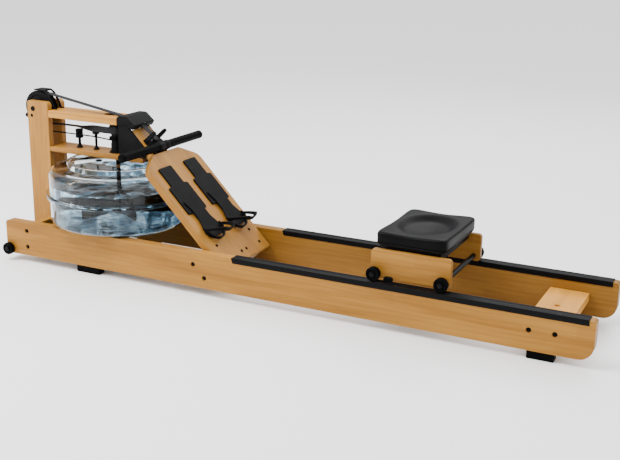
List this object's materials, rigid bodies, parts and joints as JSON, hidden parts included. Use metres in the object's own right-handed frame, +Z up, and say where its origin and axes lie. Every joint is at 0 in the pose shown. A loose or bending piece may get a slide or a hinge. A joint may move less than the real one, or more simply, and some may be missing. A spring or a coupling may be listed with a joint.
{
  "type": "water rowing machine",
  "caption": "Water rowing machine: timber rails, rolling seat, clear water tank with paddle, belt drive, sloping footboard with heel cups and a pull handle.",
  "frame": {"origin": "centre of the bounding box on the floor", "axes": "+X along the rails from the tank end to the tail, +Z up, the near rail at -Y"},
  "size_m": [2.1346, 0.51, 0.597],
  "materials": {
    "oak": "clear satin lacquer over light oak",
    "black_plastic": "fine matt moulding",
    "black_rubber": "matt",
    "black_anodised": "black anodised, satin",
    "steel": "brushed",
    "webbing": "woven belt",
    "black_leather": "smooth, slightly glossy",
    "clear_tank": "clear, polished",
    "water": "clear, blue tinted"
  },
  "bodies": {
    "frame": {"side_board_near": "oak", "side_board_far": "oak", "front_cross_board": "oak", "upright_near": "oak", "upright_far": "oak", "top_plank": "oak", "mid_plank": "oak", "neck_board": "oak", "footboard": "oak", "foot_cross_block": "oak", "tail_cross_board": "oak", "tank_filler_plug": "black_plastic", "drum_base_bearing": "black_plastic", "belt_guard": "black_plastic", "guide_roller": "black_plastic", "spindle_post": "black_plastic", "side_cover_near": "black_plastic", "side_cover_far": "black_plastic", "belt_hood": "black_plastic", "handle_rest": "black_plastic", "footrest_near": "black_plastic", "footrest_far": "black_plastic", "front_foot_near": "black_rubber", "front_foot_far": "black_rubber", "rear_foot_near": "black_rubber", "rear_foot_far": "black_rubber", "shock_cord": "black_rubber", "track_near": "black_anodised", "track_far": "black_anodised", "transport_axle": "steel", "front_pulley_axle": "steel", "belt_top_run": "webbing", "belt_lower_run": "webbing", "tank_lower_shell": "clear_tank", "tank_upper_shell": "clear_tank", "tank_water": "water"},
    "paddle_wheel": {"paddle": "black_plastic"},
    "drum": {"recoil_drum": "black_plastic"},
    "pulley": {"front_pulley": "black_plastic"},
    "roller": {"rear_roller": "steel"},
    "handle": {"handle_bar": "steel", "handle_clamp": "black_plastic", "handle_grip_near": "black_rubber", "handle_grip_far": "black_rubber", "belt_handle_run": "webbing"},
    "carriage": {"seat_cushion": "black_leather", "seat_base": "black_plastic", "carriage_guide": "black_plastic", "carriage_board_near": "oak", "carriage_board_far": "oak", "seat_axle_front": "steel", "seat_axle_rear": "steel"},
    "wheel_front_near": {"seat_wheel_front_near": "black_rubber"},
    "wheel_front_far": {"seat_wheel_front_far": "black_rubber"},
    "wheel_rear_near": {"seat_wheel_rear_near": "black_rubber"},
    "wheel_rear_far": {"seat_wheel_rear_far": "black_rubber"},
    "moving_wheel_near": {"transport_wheel_near": "black_rubber"},
    "moving_wheel_far": {"transport_wheel_far": "black_rubber"},
    "heel_near": {"heel_cup_near": "black_plastic"},
    "heel_far": {"heel_cup_far": "black_plastic"}
  },
  "joints": [
    {"name": "seat_slide", "type": "slide", "parent": "frame", "child": "carriage", "axis": [1, 0, 0], "range_m": [-0.44, 0.39]},
    {"name": "handle_pull", "type": "slide", "parent": "frame", "child": "handle", "axis": [0.9781, 0, 0.2079], "range_m": [0, 0.75], "stiffness_N_per_m": 20, "springref_m": -0.4},
    {"name": "pulley_turn", "type": "hinge", "parent": "frame", "child": "pulley", "pos_m": [-1.00675, 0, 0.53], "axis": [0, 1, 0], "continuous": true},
    {"name": "roller_turn", "type": "hinge", "parent": "frame", "child": "roller", "pos_m": [-0.58575, 0, 0.505], "axis": [0, 1, 0], "continuous": true},
    {"name": "drum_turn", "type": "hinge", "parent": "frame", "child": "drum", "pos_m": [-0.67275, 0, 0.45], "axis": [0, 0, 1], "continuous": true},
    {"name": "paddle_spin", "type": "hinge", "parent": "frame", "child": "paddle_wheel", "pos_m": [-0.67275, 0, 0.213], "axis": [0, 0, 1], "continuous": true},
    {"name": "heel_near_slide", "type": "slide", "parent": "frame", "child": "heel_near", "axis": [0.6997, 0, -0.7145], "range_m": [-0.045, 0.03]},
    {"name": "heel_far_slide", "type": "slide", "parent": "frame", "child": "heel_far", "axis": [0.6997, 0, -0.7145], "range_m": [-0.045, 0.03]},
    {"name": "moving_wheel_near_spin", "type": "hinge", "parent": "frame", "child": "moving_wheel_near", "pos_m": [-1.01775, -0.2087, 0.043], "axis": [0, 1, 0], "continuous": true},
    {"name": "moving_wheel_far_spin", "type": "hinge", "parent": "frame", "child": "moving_wheel_far", "pos_m": [-1.01775, 0.2087, 0.043], "axis": [0, 1, 0], "continuous": true},
    {"name": "wheel_front_near_spin", "type": "hinge", "parent": "carriage", "child": "wheel_front_near", "pos_m": [0.39325, -0.1805, 0.1703], "axis": [0, 1, 0], "continuous": true},
    {"name": "wheel_front_far_spin", "type": "hinge", "parent": "carriage", "child": "wheel_front_far", "pos_m": [0.39325, 0.1805, 0.1703], "axis": [0, 1, 0], "continuous": true},
    {"name": "wheel_rear_near_spin", "type": "hinge", "parent": "carriage", "child": "wheel_rear_near", "pos_m": [0.60925, -0.1805, 0.1703], "axis": [0, 1, 0], "continuous": true},
    {"name": "wheel_rear_far_spin", "type": "hinge", "parent": "carriage", "child": "wheel_rear_far", "pos_m": [0.60925, 0.1805, 0.1703], "axis": [0, 1, 0], "continuous": true}
  ],
  "couplings": [
    {"joint": "pulley_turn", "follows": "handle_pull", "rad_per_m": 17.331},
    {"joint": "roller_turn", "follows": "handle_pull", "rad_per_m": 64.516},
    {"joint": "drum_turn", "follows": "handle_pull", "rad_per_m": -37.313},
    {"joint": "wheel_front_near_spin", "follows": "seat_slide", "rad_per_m": 45.455},
    {"joint": "wheel_front_far_spin", "follows": "seat_slide", "rad_per_m": 45.455},
    {"joint": "wheel_rear_near_spin", "follows": "seat_slide", "rad_per_m": 45.455},
    {"joint": "wheel_rear_far_spin", "follows": "seat_slide", "rad_per_m": 45.455}
  ]
}
